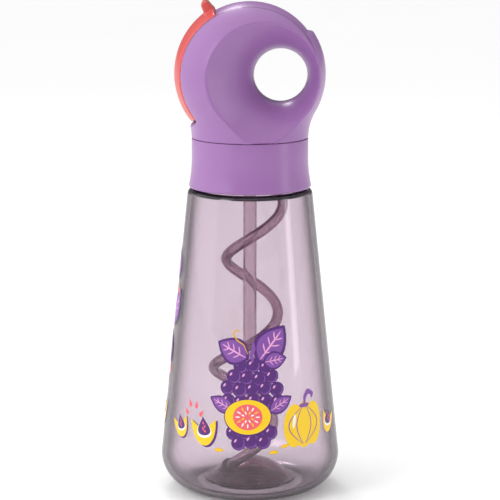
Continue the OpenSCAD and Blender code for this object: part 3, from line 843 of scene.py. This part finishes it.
def print_fruit_group(turn):
    """The large motif: a bunch of purple grapes under vine leaves, with half a pumpkin in front."""
    rows = ((63.6, 3, 1.4), (58.6, 4, 1.2), (53.6, 5, 1.0), (48.2, 5, 1.4), (34.6, 4, 0.8), (30.2, 3, 0.4))
    for row, (v, count, middle) in enumerate(rows):
        for k in range(count):
            print_berry(middle + (k - (count - 1) / 2) * 5.5, v + 0.5 * math.sin(2.1 * k + row), 6.5, turn,
                        2 + 2 * ((k + row) % 2))
    leaves = ((9.4, 73.0, 12.5, 20.0, -38, 7), (-7.4, 70.4, 10.5, 15.5, 62, 7),
              (11.0, 66.0, 7.0, 11.0, -82, 10),
              (-12.4, 46.6, 6.4, 12.5, 64, 7), (13.6, 46.4, 6.4, 12.5, -60, 7))
    for u, v, width, height, lean, layer in leaves:
        print_leaf(u, v, width, height, lean, turn, layer)
    stalk = [(1.2, 65.5), (0.6, 68.5), (1.6, 71.5), (1.2, 74.5)]
    ribbon("violet", stalk, 1.8, turn, 13)
    tendril = [(-1.0, 69.0), (-2.6, 73.0), (-5.6, 75.0), (-7.4, 77.6), (-5.8, 79.8), (-4.0, 78.2)]
    ribbon("gold", tendril, 0.6, turn, 13)
    print_half_pumpkin(-1.0, 41.3, turn, 11)


def print_seed(turn, u, v, degrees):
    """A loose seed on the ground beside the fruit."""
    patch("gold", turned_by(oval(4.2, 1.7, 20), u, v, degrees), turn, 2, 3)
    patch("yellow", turned_by(oval(3.3, 1.1, 20), u, v, degrees), turn, 3, 3)


def print_side_group(turn):
    """The small things on both sides of the large motif: wedges, drops of juice, seeds, a pumpkin."""
    print_slice(-21.5, 33.6, 13.0, 6, turn)
    print_slice(-35.6, 33.8, 10.2, 16, turn)
    for u, v, lean in ((-29.2, 45.2, 12), (-25.4, 44.9, -8), (-31.4, 41.4, 28), (-22.6, 41.5, -36)):
        patch("coral", turned_by(droplet(1.7, 3.8), u, v, lean), turn, 2, 3)
    print_pumpkin(25.8, 36.1, 20.2, turn)
    print_slice(43.6, 34.6, 11.0, -14, turn)
    for u, v, lean in ((-14.0, 26.2, 2), (10.6, 25.4, 4), (15.9, 27.8, 12)):
        print_seed(turn, u, v, lean)


def print_left_side(turn):
    """Falling leaves and drops down the bottle's left side, with a wedge under them."""
    leaves = ((0.0, 104.0, 7.0, 15.0, 16, 2), (3.0, 84.0, 9.0, 20.0, -24, 2), (-2.0, 66.0, 8.0, 17.0, 30, 5))
    for u, v, width, height, lean, layer in leaves:
        print_leaf(u, v, width, height, lean, turn, layer)
    for u, v, lean in ((2.5, 56.5, 20), (-1.5, 51.0, -30), (4.0, 93.0, 10)):
        patch("coral", turned_by(droplet(2.4, 5.0), u, v, lean), turn, 2)
    print_slice(0.0, 36.0, 12.0, 8, turn - 4)


def join_ink(colour, patches):
    """Joins one ink's patches into a single piece with the thickness of a print."""
    deselect()
    for piece in patches:
        piece.select_set(True)
    bpy.context.view_layer.objects.active = patches[0]
    bpy.ops.object.join()
    printed = bpy.context.object
    give_wall(printed, INK_T, 1.0)
    finish_piece(printed, "print_" + colour, print_ink("ink_" + colour, INK[colour]), "bottle", smooth=60)


print_fruit_group(0)
print_side_group(0)
print_left_side(-84)
for colour, patches in ink_patches.items():
    join_ink(colour, patches)

# ------------------------------------------------------------------ CAD nodes that keep their shape

KEPT = {"base_plate": PURPLE, "spout_saddle": PURPLE, "spout_carrier": PURPLE, "spout": SOFT_CORAL,
        "lid_gasket": SOFT_WHITE, "spout_seal": SOFT_WHITE,
        "duct_gasket": SOFT_WHITE, "feed_duct": SOFT_WHITE, "vent_valve": SOFT_WHITE,
        "vent_grommet": SOFT_WHITE, "straw_grommet": SOFT_WHITE,
        "vent_straw": STRAW, "bell_foot": SMOKY}
for node, material in KEPT.items():
    for slot in frame["nodes"][node].material_slots:
        slot.material = material


# ------------------------------------------------------------------ camera, floor and light

BOTTLE_MIDDLE = (0.0, 0.0, 0.12)
CAMERA_PLACE = (0.0, -0.9863, 0.2865)
CAMERA_TARGET = (0.0, 0.0, 0.1090)
CAMERA_LENS = 160.3
FLOOR_SIZE = 24.0


def aim(thing, target):
    """Turns a camera or a light, which look along -Z, towards a point."""
    direction = Vector(target) - thing.location
    thing.rotation_euler = direction.to_track_quat("-Z", "Y").to_euler()


def make_camera():
    bpy.ops.object.camera_add(location=CAMERA_PLACE)
    camera = bpy.context.object
    aim(camera, CAMERA_TARGET)
    camera.data.lens = CAMERA_LENS
    camera.data.sensor_width = 36.0
    camera.data.clip_start = 0.01
    camera.data.clip_end = 60.0
    bpy.context.scene.camera = camera


def softbox(name, place, width, height, watts):
    """A rectangular area light that faces the bottle, in metres and watts."""
    bpy.ops.object.light_add(type="AREA", location=place)
    light = bpy.context.object
    light.name = name
    light.data.shape = "RECTANGLE"
    light.data.size = width
    light.data.size_y = height
    light.data.energy = watts
    aim(light, BOTTLE_MIDDLE)


def studio_world():
    """A white room: what is seen past and through the bottle is white. What it mirrors is a wall on
    each side, the left one brighter, a softer ceiling, and dim ends behind it and behind the camera."""
    world = bpy.data.worlds.new("studio")
    room = Paint(world)
    direction = room.node("TexCoord", {})
    x, y, z = (room.node("SeparateXYZ", {}, direction, out=k) for k in range(3))
    ahead = 1.0 - y.ramp(0.45, 0.85) * 0.92
    walls = y.ramp(-0.58, -0.44) * (1.15 - 0.75 * x.ramp(-0.1, 0.7)) * ahead
    level = walls.math("MAXIMUM", z.ramp(0.35, 0.85) * 0.80) + 0.10 + 0.16 * ahead
    seen = room.node("LightPath", {}) + room.node("LightPath", {}, out=6)
    background = room.tree.nodes["Background"]
    brightness = room.node("Mix", {}, seen.math("MINIMUM", 1.0), None, level, 1.0)
    room.tree.links.new(brightness.socket, background.inputs["Strength"])
    background.inputs["Color"].default_value = (1.0, 1.0, 1.0, 1.0)
    return world


def make_stage():
    bpy.ops.mesh.primitive_plane_add(size=FLOOR_SIZE, location=(0, 0, 0))
    floor = bpy.context.object
    floor.name = "floor"
    paint = Paint(bpy.data.materials.new("pale_floor"))
    grain = paint.noise(3.0, 2.0)
    paint.set(Base_Color=paint.mix(grain, (0.90, 0.90, 0.90, 1.0), (0.93, 0.93, 0.93, 1.0)), Roughness=0.7)
    paint.set(Emission_Color=(1.0, 1.0, 1.0, 1.0), Emission_Strength=0.12)
    floor.data.materials.append(paint.owner)
    bpy.context.scene.world = studio_world()
    softbox("key_left", (-0.9, -0.8, 0.75), 0.5, 0.7, 6.0)
    softbox("fill_right", (1.0, -0.35, 0.35), 0.2, 0.9, 1.5)
    softbox("top_back", (-0.2, 0.75, 0.95), 0.25, 0.25, 2.0)


make_camera()
make_stage()
bpy.context.scene.view_settings.view_transform = "Standard"
deselect()
